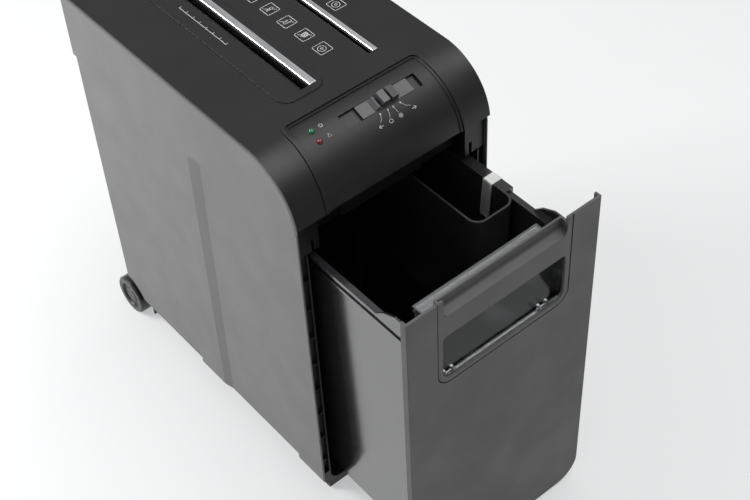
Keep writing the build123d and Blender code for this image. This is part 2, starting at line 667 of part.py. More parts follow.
def make_bin_front():
    """Bin's front panel: dished sheet with side flanges, rounded lower corners and the insert's opening."""
    shape = [(-HALF, DOOR_TOP_Z), (-HALF, DOOR_BOTTOM_Z), (HALF, DOOR_BOTTOM_Z), (HALF, DOOR_TOP_Z)]
    radii = [0, 25, 25, 0]
    body = slab_y(outline(shape, radii), DOOR_FRONT_Y, DOOR_FRONT_Y + DOOR_FLANGE)
    body = chamfer(body.faces().sort_by(Axis.Y)[0].edges().sort_by(Axis.Z)[:-1], 0.5)
    wall = 2.2
    hollow = [(-HALF + wall, DOOR_TOP_Z + 5), (-HALF + wall, DOOR_BOTTOM_Z + wall)]
    hollow += [(HALF - wall, DOOR_BOTTOM_Z + wall), (HALF - wall, DOOR_TOP_Z + 5)]
    body -= slab_y(outline(hollow, [0, 23, 23, 0]), DOOR_FRONT_Y + SHEET, 0)
    insert = [(-INSERT_HALF, DOOR_TOP_Z + 5), (-INSERT_HALF, INSERT_BOTTOM_Z)]
    insert += [(INSERT_HALF, INSERT_BOTTOM_Z), (INSERT_HALF, DOOR_TOP_Z + 5)]
    body -= slab_y(outline(insert, [0, 15, 15, 0]), -20, 0)
    for x, z in ((-60, 60), (-60, 200), (60, 60), (60, 200)):
        body += block(x - 6, x + 6, DOOR_FRONT_Y + SHEET, BIN_FRONT_Y, z, z + 12)
    return body


def make_handle_insert():
    """Insert in the bin's front: finger recess above a window opening."""
    half = INSERT_HALF - INSERT_GAP
    corner = 15 - INSERT_GAP
    shape = [(-half, DOOR_TOP_Z), (-half, INSERT_BOTTOM_Z + INSERT_GAP)]
    shape += [(half, INSERT_BOTTOM_Z + INSERT_GAP), (half, DOOR_TOP_Z)]
    body = slab_y(outline(shape, [0, corner, corner, 0]), DOOR_FRONT_Y, DOOR_FRONT_Y + SHEET)
    window = rectangle_points(-WINDOW_HALF, WINDOW_HALF, WINDOW_BOTTOM_Z, WINDOW_TOP_Z)
    body -= slab_y(outline(window, [9, 9, 4, 4]), DOOR_FRONT_Y - 1, DOOR_FRONT_Y + SHEET + 1)
    body = chamfer(body.faces().sort_by(Axis.Y)[0].edges(), 0.6)
    backing = rectangle_points(-GRIP_HALF - 2, GRIP_HALF + 2, GRIP_LEDGE_Z - 2.5, GRIP_BACK_TOP_Z)
    body += slab_y(outline(backing), DOOR_FRONT_Y + SHEET, DOOR_FRONT_Y + GRIP_DEPTH + 1.8)
    front = DOOR_FRONT_Y - 1
    back = DOOR_FRONT_Y + GRIP_DEPTH
    recess = [(front, GRIP_LEDGE_Z - 0.3), (front + 1, GRIP_LEDGE_Z), (back, GRIP_LEDGE_Z + 4)]
    recess += [(back, DOOR_TOP_Z + 3), (front, DOOR_TOP_Z + 3)]
    cut = slab_x(outline(recess, [0, 0, 2.5, 0, 0]), -GRIP_HALF, GRIP_HALF)
    corners = outline(rectangle_points(-GRIP_HALF, GRIP_HALF, GRIP_LEDGE_Z - 0.5, DOOR_TOP_Z + 12), 7)
    return body - (cut & slab_y(corners, front - 1, back + 1))


def make_window_tray():
    """Clear pocket behind the window: sloping rear pane, shelf on top, ledge below and closed ends."""
    front = DOOR_FRONT_Y + SHEET
    low = INSERT_BOTTOM_Z + 2.5
    foot = front + 4.5
    lip = TRAY_TOP_Z - 7

    def section(inset, front_y):
        points = [(front_y, low + inset), (foot - inset / 2, low + inset), (TRAY_REAR_Y - inset, lip)]
        points += [(TRAY_REAR_Y - inset, TRAY_TOP_Z - inset), (front_y, TRAY_TOP_Z - inset)]
        return outline(points, [0, 2, 3, 2, 0])

    body = slab_x(section(0, front), -TRAY_HALF, TRAY_HALF)
    return body - slab_x(section(TRAY_WALL, front - 1), -TRAY_HALF + TRAY_WALL, TRAY_HALF - TRAY_WALL)


def make_cd_bin():
    """Small bin for disc chips, hung on the main bin's right rim."""
    x0, x1, y0, y1 = CD_BIN
    wall = 2.0

    def tub(inset, low, high):
        base = rectangle_points(x0 + 3 + inset, x1 - 3 - inset, y0 + 2 + inset, y1 - 2 - inset)
        rim = rectangle_points(x0 + inset, x1 - inset, y0 + inset, y1 - inset)
        floor_face = Plane.XY.offset(low) * outline(base, 10 - inset)
        rim_face = Plane.XY.offset(high) * outline(rim, 12 - inset)
        return loft([floor_face, rim_face], ruled=True)

    body = tub(0, CD_BIN_FLOOR_Z, CD_BIN_RIM_Z)
    flange = block(x1 - 6, BIN_HALF + 0.8, y0 + 14, y1 - 14, BIN_RIM_Z + 0.2, CD_BIN_RIM_Z)
    hook = block(BIN_HALF + 0.3, BIN_HALF + 2.3, y0 + 14, y1 - 14, BIN_RIM_Z - 8, CD_BIN_RIM_Z)
    cavity = tub(wall, CD_BIN_FLOOR_Z, CD_BIN_RIM_Z + 0.01)
    body += flange + hook
    return body - (cavity - block(0, HALF, 0, DEPTH, 0, CD_BIN_FLOOR_Z + wall))


def make_cd_clip():
    """Bent metal strip folded over the small bin's right rim."""
    x1 = CD_BIN[1] - 2.0
    y0, y1 = 94.0, 105.0
    top = CD_BIN_RIM_Z
    tip = (x1 - 4.6, top - 39)
    strip = [tip, (tip[0] + 0.8, tip[1] - 0.1), (x1 - 1.0, top - 1.5), (x1 - 0.5, top)]
    strip += [(BIN_HALF + 2.3, top), (BIN_HALF + 2.3, top + 0.8), (x1 - 1.0, top + 0.8)]
    strip += [(x1 - 1.8, top - 0.8)]
    return slab_y(outline(strip), y0, y1)


# --- the set of pieces ----------------------------------------------------------------------------
def build_fixed():
    right_panel = make_side_panel()
    pads = [block(x - 13, x + 13, 14, 40, 0, 3) for x in (-76, 76)]
    feet = [block(x - 15, x + 15, 12, 42, 3, CABINET_BOTTOM_Z) for x in (-76, 76)]
    screw_spots = [(x, z) for x in (-94, 94) for z in (90, 200, 310, 420)]
    screws = [rod_y(3.2, DEPTH, DEPTH + 1.6, x, z) for x, z in screw_spots]
    motor_top = MOTOR_Z + MOTOR_RADIUS
    return {
        "cabinet_shell": make_cabinet_shell(),
        "right_side_panel": right_panel,
        "left_side_panel": mirrored(right_panel),
        "back_panel": make_back_panel(),
        "back_panel_screws": screws,
        "top_cover": make_top_cover(),
        "inlet_plate": make_inlet_plate(),
        "paper_slot_trim": make_trim(PAPER_SLOT, 7.2),
        "cd_slot_trim": make_cd_trim(),
        "control_fascia": make_fascia(),
        "power_led": make_led(LED_ANGLES["power_led"]),
        "overheat_led": make_led(LED_ANGLES["overheat_led"]),
        "mode_switch": make_mode_switch(),
        "control_board": block(-88, -56, 95, 160, 356, 357.6),
        "front_frame": make_front_frame(),
        "head_deck": make_head_deck(),
        "paper_chute": make_chute(PAPER_SLOT, 3.0, PAPER_X),
        "cd_chute": make_chute(CD_SLOT, 3.0, (CD_LEFT_X + CD_RIGHT_X) / 2),
        "front_bearing_plate": make_front_plate(),
        "rear_bearing_plate": make_rear_plate(),
        "cd_rear_plate": make_cd_rear_plate(),
        "cutter_bushes": make_bushes(),
        "tie_rods": make_tie_rods(),
        "left_stripper_comb": make_comb(-1),
        "right_stripper_comb": make_comb(1),
        "motor_body": make_motor_body(),
        "thermal_cutout": block(MOTOR_X - 6, MOTOR_X + 6, 250, 270, motor_top, motor_top + 6),
        "bin_switch": block(-92, -82.5, 79.5, 88, 352.5, 366),
        "paper_sensor": block(-44, -28, 112, 128, 412, 424),
        "power_inlet": make_power_inlet(),
        "idler_pin": rod_y(3.0, REAR_PLATE_Y[0], 338.5, IDLER_X, IDLER_Z),
        "rear_axle": rod_x(3.0, -HALF + 2.5, HALF - 2.5, WHEEL_Y, WHEEL_RADIUS),
        "axle_brackets": make_axle_brackets(),
        "front_feet": feet,
        "foot_pads": pads,
        "bin_runners": make_runners(),
    }


def build_head():
    """Turning pieces of the cutting head and its gear train."""
    paper_discs = (CUTTER_COUNT, CUTTER_RADIUS, CUTTER_CORE, JOURNAL_RADIUS)
    cd_discs = (CD_COUNT, CD_CUTTER_RADIUS, CD_CORE, CD_JOURNAL)
    short_end = FRONT_PLATE_Y[0] - 1
    long_end = TRANSFER_Y[0] - 1
    last = REAR_PLATE_Y[0] - 0.6
    cd_last = CD_REAR_PLATE_Y[0] - 0.6
    half_pitch = CUTTER_PITCH / 2
    to_drive = direction(IDLER_X, IDLER_Z, RIGHT_SHAFT_X, SHAFT_Z)
    to_idler = direction(MOTOR_X, MOTOR_Z, IDLER_X, IDLER_Z)
    idler = gear(44, 1.0, 3.0 + RUNNING_GAP, SYNC_Y, IDLER_X, IDLER_Z, facing_gap(to_idler, 44))
    idler += gear(18, 1.5, 3.0 + RUNNING_GAP, (SYNC_Y[1], DRIVE_Y[1]), IDLER_X, IDLER_Z, to_drive)
    drive = gear(36, 1.5, JOURNAL_RADIUS, DRIVE_Y, RIGHT_SHAFT_X, SHAFT_Z, facing_gap(to_drive, 36))
    pinion = slab_y(gear_face(18, 1.0, to_idler), *SYNC_Y)
    armature = rod_y(ARMATURE_RADIUS, MOTOR_FRONT_Y + 14, REAR_PLATE_Y[0] - 14, 0, 0)
    rotor = rod_y(4.0, 222, SYNC_Y[0], 0, 0) + armature + pinion
    return {
        "left_cutter": cutter(LEFT_SHAFT_X, 0, paper_discs, short_end, last, SYNC_Y[1]),
        "left_sync_gear": gear(20, 1.5, JOURNAL_RADIUS, SYNC_Y, LEFT_SHAFT_X, SHAFT_Z, 0),
        "right_cutter": cutter(RIGHT_SHAFT_X, half_pitch, paper_discs, long_end, last, DRIVE_Y[1]),
        "right_sync_gear": gear(20, 1.5, JOURNAL_RADIUS, SYNC_Y, RIGHT_SHAFT_X, SHAFT_Z, facing_gap(0, 20)),
        "cutter_drive_gear": drive,
        "cd_transfer_gear": gear(36, 1.25, JOURNAL_RADIUS, TRANSFER_Y, RIGHT_SHAFT_X, SHAFT_Z, 0),
        "reduction_gear": idler,
        "motor_shaft": Pos(MOTOR_X, 0, MOTOR_Z) * rotor,
        "cd_left_cutter": cutter(CD_LEFT_X, 0, cd_discs, long_end, cd_last, CD_SYNC_Y[1]),
        "cd_driven_gear": gear(30, 1.25, CD_JOURNAL, TRANSFER_Y, CD_LEFT_X, SHAFT_Z, facing_gap(0, 30)),
        "cd_left_sync_gear": gear(20, 1.2, CD_JOURNAL, CD_SYNC_Y, CD_LEFT_X, SHAFT_Z, 0),
        "cd_right_cutter": cutter(CD_RIGHT_X, half_pitch, cd_discs, short_end, cd_last, CD_SYNC_Y[1]),
        "cd_right_sync_gear": gear(20, 1.2, CD_JOURNAL, CD_SYNC_Y, CD_RIGHT_X, SHAFT_Z, facing_gap(0, 20)),
    }


def build_moving():
    hub = make_wheel_hub()
    tyre = make_tyre()
    return {
        "mode_slider": make_mode_slider(),
        "right_wheel_hub": hub,
        "right_tyre": tyre,
        "left_wheel_hub": mirrored(hub),
        "left_tyre": mirrored(tyre),
    }


def build_bin():
    """Pieces that slide out with the bin, in the drawn-out place."""
    pieces = {
        "bin_body": make_bin_body(),
        "bin_front_panel": make_bin_front(),
        "handle_insert": make_handle_insert(),
        "window_tray": make_window_tray(),
        "cd_bin": make_cd_bin(),
        "cd_bin_clip": make_cd_clip(),
    }
    return {name: Pos(0, -BIN_OUT, 0) * part for name, part in pieces.items()}


os.makedirs("parts", exist_ok=True)
nodes = {**build_fixed(), **build_head(), **build_moving(), **build_bin()}
for name, part in nodes.items():
    pieces = part if isinstance(part, list) else [part]
    placed = [Pos(*ROW_SHIFT) * piece for piece in pieces]
    export_step(placed[0] if len(placed) == 1 else Compound(children=placed), f"parts/{name}.step")
print(len(nodes), "nodes, row shift", ROW_SHIFT, "idler", IDLER_X, IDLER_Z)
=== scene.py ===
import json
import math

import bmesh
import bpy
from mathutils import Matrix, Vector


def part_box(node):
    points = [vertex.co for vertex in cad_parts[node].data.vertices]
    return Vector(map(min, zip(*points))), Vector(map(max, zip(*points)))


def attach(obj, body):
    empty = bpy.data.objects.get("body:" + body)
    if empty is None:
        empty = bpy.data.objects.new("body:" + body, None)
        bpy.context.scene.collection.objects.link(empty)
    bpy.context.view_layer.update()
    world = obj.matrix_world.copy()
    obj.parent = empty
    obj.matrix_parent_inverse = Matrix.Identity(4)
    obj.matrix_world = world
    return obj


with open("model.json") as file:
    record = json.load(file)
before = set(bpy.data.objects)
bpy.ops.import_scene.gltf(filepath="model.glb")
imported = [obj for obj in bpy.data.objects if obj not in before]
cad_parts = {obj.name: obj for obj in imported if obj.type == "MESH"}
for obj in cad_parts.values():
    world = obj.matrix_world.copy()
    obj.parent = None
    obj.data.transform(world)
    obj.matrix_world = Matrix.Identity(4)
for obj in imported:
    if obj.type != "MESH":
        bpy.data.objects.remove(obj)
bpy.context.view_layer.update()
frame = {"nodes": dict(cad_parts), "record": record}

MM = 0.001

# Places worked out from the frame: the cover and its rolled front corner, the raised plate, the clear tray.
COVER_LOW, COVER_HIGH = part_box("top_cover")
TRAY_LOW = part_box("window_tray")[0]
TOP_Z = COVER_HIGH.z
PLATE_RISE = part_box("inlet_plate")[1].z - TOP_Z
CORNER_RADIUS = 56.6 * MM
COVER_LOW_TURN = math.radians(84)
CORNER_Y = COVER_LOW.y + CORNER_RADIUS * math.sin(COVER_LOW_TURN)
CORNER_Z = TOP_Z - CORNER_RADIUS
FRONT_Y = CORNER_Y - CORNER_RADIUS
FIELD_DROP = 1.2 * MM
PRINT_RISE = 0.12 * MM


# --- mesh helpers ---------------------------------------------------------------------------------
def mesh_piece(name, build, body, material, smooth=True):
    """Piece from a bmesh builder, riding on a body and material."""
    mesh = bpy.data.meshes.new(name)
    bm = bmesh.new()
    build(bm)
    bmesh.ops.recalc_face_normals(bm, faces=bm.faces)
    bm.to_mesh(mesh)
    bm.free()
    if smooth:
        mesh.shade_smooth()
        mesh.set_sharp_from_angle(angle=math.radians(35))
    piece = bpy.data.objects.new(name, mesh)
    bpy.context.scene.collection.objects.link(piece)
    piece.data.materials.append(material)
    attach(piece, body)
    return piece


def add_box(bm, low, high, place=Matrix.Identity(4), bevel=0.0):
    """Box between two corners, with rounded edges, put in place by a matrix."""
    made = bmesh.ops.create_cube(bm, size=1.0)
    verts = made["verts"]
    size = Vector(high) - Vector(low)
    middle = (Vector(high) + Vector(low)) / 2
    for vert in verts:
        vert.co = Vector(vert.co[i] * size[i] + middle[i] for i in range(3))
    if bevel:
        edges = list({edge for vert in verts for edge in vert.link_edges})
        made = bmesh.ops.bevel(bm, geom=edges, offset=bevel, segments=3, affect="EDGES", profile=0.6)
        kept = {vert for vert in verts if vert.is_valid}
        verts = list({vert for face in made["faces"] for vert in face.verts} | kept)
    for vert in verts:
        vert.co = place @ vert.co


def add_stroke(bm, points, width, place, rise=PRINT_RISE, closed=False):
    """Thin printed line: a raised ribbon along flat points. place turns (u, v, height) into a position."""
    path = [Vector(point) for point in points]
    count = len(path)
    rows = []
    for i, here in enumerate(path):
        before = path[i - 1] if closed or i > 0 else here
        after = path[(i + 1) % count] if closed or i < count - 1 else here
        along = (after - before).normalized()
        side = Vector((-along.y, along.x)) * width / 2
        corners = [(here + side, rise), (here - side, rise), (here - side, -rise), (here + side, -rise)]
        rows.append([bm.verts.new(place(spot.x, spot.y, height)) for spot, height in corners])
    last = count if closed else count - 1
    for i in range(last):
        a, b = rows[i], rows[(i + 1) % count]
        for k in range(4):
            bm.faces.new((a[k], a[(k + 1) % 4], b[(k + 1) % 4], b[k]))
    if not closed:
        bm.faces.new(rows[0])
        bm.faces.new(rows[-1])


def circle_points(u, v, radius, count=20, start=0.0, turn=1.0):
    """Points round a circle, or along the part of it that turn gives."""
    steps = count if turn == 1.0 else count + 1
    angles = [start + 2 * math.pi * turn * i / count for i in range(steps)]
    return [(u + radius * math.cos(a), v + radius * math.sin(a)) for a in angles]


def add_dot(bm, u, v, radius, place, rise=PRINT_RISE):
    """Filled printed dot."""
    rim = circle_points(u, v, radius, 16)
    top = [bm.verts.new(place(a, b, rise)) for a, b in rim]
    low = [bm.verts.new(place(a, b, -rise)) for a, b in rim]
    bm.faces.new(top)
    bm.faces.new(list(reversed(low)))
    for i in range(16):
        j = (i + 1) % 16
        bm.faces.new((top[i], low[i], low[j], top[j]))


# --- materials ------------------------------------------------------------------------------------
EDGE_RADIUS = 0.5 * MM
METAL_EDGE_RADIUS = 0.3 * MM
# Painted shade in corners and recesses: how far it reaches, its darkest factor and its colour factor.
CREVICE_REACH = 18 * MM
CREVICE_DARKEST = 0.45
CREVICE_SHADE = 0.3


class Recipe:
    """Small node-tree writer for one material."""

    def __init__(self, name):
        self.material = bpy.data.materials.new(name)
        self.material.use_nodes = True
        self.tree = self.material.node_tree
        self.shader = self.tree.nodes["Principled BSDF"]
        self.coords = self.add("ShaderNodeTexCoord").outputs["Object"]

    def add(self, kind, **settings):
        node = self.tree.nodes.new(kind)
        for key, value in settings.items():
            setattr(node, key, value)
        return node

    def link(self, out_socket, in_socket):
        self.tree.links.new(out_socket, in_socket)

    def stretched(self, scale):
        mapping = self.add("ShaderNodeMapping")
        mapping.inputs["Scale"].default_value = scale
        self.link(self.coords, mapping.inputs["Vector"])
        return mapping.outputs["Vector"]

    def noise(self, scale, detail=3.0, vector=None, roughness=0.5):
        node = self.add("ShaderNodeTexNoise")
        node.inputs["Scale"].default_value = scale
        node.inputs["Detail"].default_value = detail
        node.inputs["Roughness"].default_value = roughness
        self.link(vector or self.coords, node.inputs["Vector"])
        return node.outputs["Fac"]

    def cells(self, scale):
        node = self.add("ShaderNodeTexVoronoi")
        node.inputs["Scale"].default_value = scale
        self.link(self.coords, node.inputs["Vector"])
        return node.outputs["Distance"]

    def ranged(self, value, low, high, to_low, to_high):
        node = self.add("ShaderNodeMapRange")
        for key, number in zip(("From Min", "From Max", "To Min", "To Max"), (low, high, to_low, to_high)):
            node.inputs[key].default_value = number
        self.link(value, node.inputs["Value"])
        return node.outputs["Result"]

    def mixed(self, factor, first, second):
        """Blend of two colours, each a colour or a socket."""
        node = self.add("ShaderNodeMix", data_type="RGBA")
        self.link(factor, node.inputs["Factor"])
        for key, colour in ((6, first), (7, second)):
            if isinstance(colour, tuple):
                node.inputs[key].default_value = (*colour, 1.0)
            else:
                self.link(colour, node.inputs[key])
        return node.outputs[2]

    def edge_mask(self, radius):
        """White along sharp edges: how far the rounded normal leans from the true one."""
        rounded = self.add("ShaderNodeBevel", samples=4)
        rounded.inputs["Radius"].default_value = radius
        true = self.add("ShaderNodeNewGeometry").outputs["Normal"]
        dot = self.add("ShaderNodeVectorMath", operation="DOT_PRODUCT")
        self.link(rounded.outputs["Normal"], dot.inputs[0])
        self.link(true, dot.inputs[1])
        return self.ranged(dot.outputs["Value"], 0.995, 0.86, 0.0, 1.0), rounded.outputs["Normal"]

    def painted_crevice_shade(self, reach, darkest):
        """Factor that falls in corners and recesses, for painted shade there."""
        node = self.add("ShaderNodeAmbientOcclusion", samples=4)
        node.inputs["Distance"].default_value = reach
        return self.ranged(node.outputs["AO"], 0.3, 0.85, darkest, 1.0)

    def product(self, first, second):
        node = self.add("ShaderNodeMath", operation="MULTIPLY")
        self.link(first, node.inputs[0])
        self.link(second, node.inputs[1])
        return node.outputs[0]

    def bump(self, height, distance, strength=1.0, normal=None):
        node = self.add("ShaderNodeBump")
        node.inputs["Strength"].default_value = strength
        node.inputs["Distance"].default_value = distance
        self.link(height, node.inputs["Height"])
        if normal is not None:
            self.link(normal, node.inputs["Normal"])
        return node.outputs["Normal"]


def shade(colour, factor):
    return tuple(min(1.0, channel * factor) for channel in colour)


def plastic(name, colour, rough, grain=1400.0, grain_depth=0.03, edge_wear_and_highlight=1.5, spread=0.08, coat=0.0,
            specular=0.5):
    """Moulded plastic: grain, uneven gloss, slight tone drift, painted shade in recesses and paler edges that
    are partly scuffing and partly painted highlight.
    """
    recipe = Recipe(name)
    drift = recipe.ranged(recipe.noise(9.0, 4.0), 0.3, 0.7, 0.0, 1.0)
    speck = recipe.noise(grain * 0.6, 2.0)
    tone = recipe.mixed(drift, shade(colour, 1 - spread), shade(colour, 1 + spread))
    fine = recipe.mixed(recipe.ranged(speck, 0.35, 0.65, 0.0, 0.35), tone, shade(colour, 1.35))
    mask, rounded = recipe.edge_mask(EDGE_RADIUS)
    scuffed = recipe.ranged(recipe.noise(140.0, 3.0), 0.42, 0.62, 0.25, 1.0)
    # Edges made paler: partly scuffing, partly painted highlight.
    worn_and_highlit = recipe.mixed(recipe.product(mask, scuffed), fine, shade(colour, edge_wear_and_highlight))
    # Painted shade: the base colour is darkened in corners and recesses.
    open_air = recipe.painted_crevice_shade(CREVICE_REACH, CREVICE_DARKEST)
    shaded = recipe.mixed(open_air, shade(colour, CREVICE_SHADE), worn_and_highlit)
    recipe.link(shaded, recipe.shader.inputs["Base Color"])
    gloss = recipe.ranged(recipe.noise(26.0, 5.0), 0.3, 0.7, rough * 0.88, min(1.0, rough * 1.12))
    recipe.link(gloss, recipe.shader.inputs["Roughness"])
    bumped = recipe.bump(recipe.cells(grain), grain_depth * MM, 0.6, rounded)
    recipe.link(bumped, recipe.shader.inputs["Normal"])
    recipe.shader.inputs["Specular IOR Level"].default_value = specular
    recipe.shader.inputs["Coat Weight"].default_value = coat
    recipe.shader.inputs["Coat Roughness"].default_value = 0.14
    return recipe.material


def metal(name, colour, rough, scratch=(900.0, 14.0, 900.0), depth=0.01, spread=0.12):
    """Bare metal with fine drawn scratches along one direction and dull patches."""
    recipe = Recipe(name)
    lines = recipe.noise(1.0, 2.0, recipe.stretched(scratch))
    patches = recipe.ranged(recipe.noise(45.0, 4.0), 0.3, 0.7, 0.0, 1.0)
    tone = recipe.mixed(patches, shade(colour, 1 - spread), shade(colour, 1 + spread))
    recipe.link(tone, recipe.shader.inputs["Base Color"])
    recipe.shader.inputs["Metallic"].default_value = 1.0
    recipe.link(recipe.ranged(lines, 0.3, 0.7, rough * 0.8, rough * 1.25), recipe.shader.inputs["Roughness"])
    rounded = recipe.edge_mask(METAL_EDGE_RADIUS)[1]
    recipe.link(recipe.bump(lines, depth * MM, 0.5, rounded), recipe.shader.inputs["Normal"])
    return recipe.material


def clear_plastic(name, top_light_strength=0.11):
    """Clear moulding: loose patches dusty with paper, a paler top side that is painted light from above, and
    faint flow marks.
    """
    recipe = Recipe(name)
    patches = recipe.ranged(recipe.noise(38.0, 6.0), 0.52, 0.72, 0.0, 1.0)
    specks = recipe.ranged(recipe.noise(600.0, 2.0), 0.45, 0.7, 0.02, 0.16)
    split = recipe.add("ShaderNodeSeparateXYZ")
    recipe.link(recipe.add("ShaderNodeNewGeometry").outputs["Normal"], split.inputs[0])
    # Upward faces painted paler: painted light from above, merged with the paper specks.
    painted_top_light = recipe.ranged(split.outputs["Z"], 0.6, 0.95, 0.0, top_light_strength)
    dust_and_top_light = recipe.add("ShaderNodeMath", operation="MAXIMUM")
    recipe.link(recipe.product(patches, specks), dust_and_top_light.inputs[0])
    recipe.link(painted_top_light, dust_and_top_light.inputs[1])
    cover = dust_and_top_light.outputs[0]
    tone = recipe.mixed(cover, (0.93, 0.95, 0.96), (0.72, 0.74, 0.76))
    recipe.link(tone, recipe.shader.inputs["Base Color"])
    recipe.link(recipe.ranged(cover, 0.0, 1.0, 0.05, 0.5), recipe.shader.inputs["Roughness"])
    recipe.link(recipe.ranged(cover, 0.0, 1.0, 1.0, 0.0), recipe.shader.inputs["Transmission Weight"])
    streaks = recipe.noise(1.0, 3.0, recipe.stretched((160.0, 160.0, 40.0)))
    recipe.link(recipe.bump(streaks, 0.15 * MM, 0.5), recipe.shader.inputs["Normal"])
    recipe.shader.inputs["IOR"].default_value = 1.49
    return recipe.material


def lens(name, colour):
    """Tinted lamp lens, slightly cloudy inside."""
    recipe = Recipe(name)
    cloud = recipe.noise(500.0, 3.0)
    tint = recipe.mixed(cloud, shade(colour, 0.7), shade(colour, 1.5))
    recipe.link(tint, recipe.shader.inputs["Base Color"])
    recipe.link(recipe.ranged(cloud, 0.3, 0.7, 0.12, 0.22), recipe.shader.inputs["Roughness"])
    recipe.shader.inputs["Transmission Weight"].default_value = 0.35
    recipe.shader.inputs["Coat Weight"].default_value = 0.6
    return recipe.material


MATERIALS = {
    "side_grey": plastic("side_grey", (0.116, 0.115, 0.117), 0.4, 1700.0, 0.004, 1.5, 0.012),
    "cover_black": plastic("cover_black", (0.0125, 0.0125, 0.0132), 0.43, 1100.0, 0.04, 2.6, specular=0.36),
    "black_shell": plastic("black_shell", (0.0065, 0.0065, 0.0068), 0.42, 1300.0, 0.03, 2.4, specular=0.4),
    "bin_black": plastic("bin_black", (0.019, 0.019, 0.0205), 0.2, 600.0, 0.003, 2.0, 0.1, coat=1.0),
    "door_grey": plastic("door_grey", (0.072, 0.0695, 0.0685), 0.52, 1500.0, 0.012, 1.4, 0.03),
    "slider_grey": plastic("slider_grey", (0.05, 0.05, 0.053), 0.36, 1500.0, 0.02, 2.0),
    "wheel_black": plastic("wheel_black", (0.02, 0.02, 0.021), 0.36, 900.0, 0.02, 2.4),
    "tyre_black": plastic("tyre_black", (0.016, 0.016, 0.017), 0.33, 700.0, 0.05, 1.6),
    "rubber_black": plastic("rubber_black", (0.014, 0.014, 0.014), 0.8, 500.0, 0.08, 1.4),
    "gear_nylon": plastic("gear_nylon", (0.62, 0.6, 0.54), 0.4, 800.0, 0.02, 1.1),
    "board_green": plastic("board_green", (0.02, 0.13, 0.05), 0.3, 500.0, 0.05, 1.2),
    "motor_paint": plastic("motor_paint", (0.04, 0.04, 0.045), 0.35, 400.0, 0.05, 3.0),
    "satin_silver": metal("satin_silver", (0.72, 0.72, 0.73), 0.36),
    "clip_metal": metal("clip_metal", (0.8, 0.81, 0.79), 0.62, (300.0, 300.0, 60.0), 0.03),
    "zinc_steel": metal("zinc_steel", (0.55, 0.56, 0.55), 0.35, (300.0, 60.0, 300.0), 0.02),
    "cutter_steel": metal("cutter_steel", (0.42, 0.42, 0.41), 0.3, (60.0, 900.0, 60.0), 0.03),
    "gear_steel": metal("gear_steel", (0.33, 0.33, 0.32), 0.42, (400.0, 400.0, 400.0), 0.04),
    "bronze": metal("bronze", (0.5, 0.34, 0.17), 0.4, (500.0, 500.0, 500.0), 0.03),
    "green_lens": lens("green_lens", (0.01, 0.2, 0.09)),
    "red_lens": lens("red_lens", (0.22, 0.008, 0.01)),
    "clear_plastic": clear_plastic("clear_plastic"),
}
# Clear plastic with its upward faces painted much paler, as painted light from above; used for the prongs and
# for the ledge glint strip.
CLEAR_EDGE = clear_plastic("clear_edge", 0.8)
PRINT = plastic("print_ink", (0.62, 0.62, 0.62), 0.55, 2500.0, 0.01, 1.0, 0.06)


def dress_nodes():
    """Gives every CAD node the material of its slot."""
    slots = {part["node"]: part["material_slot"] for part in frame["record"]["subparts"]}
    for name, node in frame["nodes"].items():
        material = MATERIALS[slots[name]]
        node.data.materials.clear()
        node.data.materials.append(material)


# --- places on the object -------------------------------------------------------------------------
def on_top(u, v, height):
    """Point on the flat top: u to the right, v backwards from the front of the cover."""
    return Vector((u, FRONT_Y + v, TOP_Z + height))


def on_plate(u, v, height):
    """Point on the raised plate round the paper slot."""
    return on_top(u, v, PLATE_RISE + height)


def on_field(u, turn, height):
    """Point on the fascia's curved field: turn in degrees from the top towards the front."""
    angle = math.radians(turn)
    reach = CORNER_RADIUS - FIELD_DROP + height
    return Vector((u, CORNER_Y - reach * math.sin(angle), CORNER_Z + reach * math.cos(angle)))


def field_place(u0, turn0):
    """Place function for small printed marks: u across, v upwards along the curve, in metres."""
    per_metre = math.degrees(1 / CORNER_RADIUS)
    return lambda u, v, height: on_field(u0 + u, turn0 - v * per_metre, height)


def on_tray(u, back, up):
    """Point by the clear tray: u to the right, back from its front face and up from its lower face."""
    return Vector((u, TRAY_LOW.y + back, TRAY_LOW.z + up))


# --- printed marks --------------------------------------------------------------------------------
LINE = 0.45 * MM
ICON_HALF = 6.6 * MM
ICON_PITCH = 24.8 * MM
FIRST_ICON_V = 117.8 * MM
ICON_U = 18.6 * MM
CD_ICON_U = 66.0 * MM
SCALE_U = -39.5 * MM
SCALE_TICK = 2.5 * MM
SCALE_START, SCALE_END, SCALE_STEP = 178, 248, 10


def rounded_square(half, corner, steps=4):
    """Points round a square with round corners."""
    points = []
    for quarter, (sx, sy) in enumerate(((1, 1), (-1, 1), (-1, -1), (1, -1))):
        for i in range(steps + 1):
            a = math.pi / 2 * (quarter + i / steps)
            middle = Vector((sx, sy)) * (half - corner)
            points.append((middle.x + corner * math.cos(a), middle.y + corner * math.sin(a)))
    return points


def sheet_glyph(bm, place):
    """Sheet going into a slot."""
    w, h = 2.6 * MM, 3.8 * MM
    add_stroke(bm, [(-w, -1 * MM), (-w, h), (w, h), (w, -1 * MM)], LINE, place)
    add_stroke(bm, [(-4.6 * MM, -1.4 * MM), (4.6 * MM, -1.4 * MM)], LINE * 1.4, place)
    for k in (-1, 0, 1):
        add_stroke(bm, [(k * 1.7 * MM, -2.4 * MM), (k * 1.7 * MM, -4.6 * MM)], LINE, place)


def barred(glyph):
    def draw(bm, place):
        glyph(bm, place)
        reach = 4.6 * MM
        add_stroke(bm, [(-reach, -reach), (reach, reach)], LINE, place)
    return draw


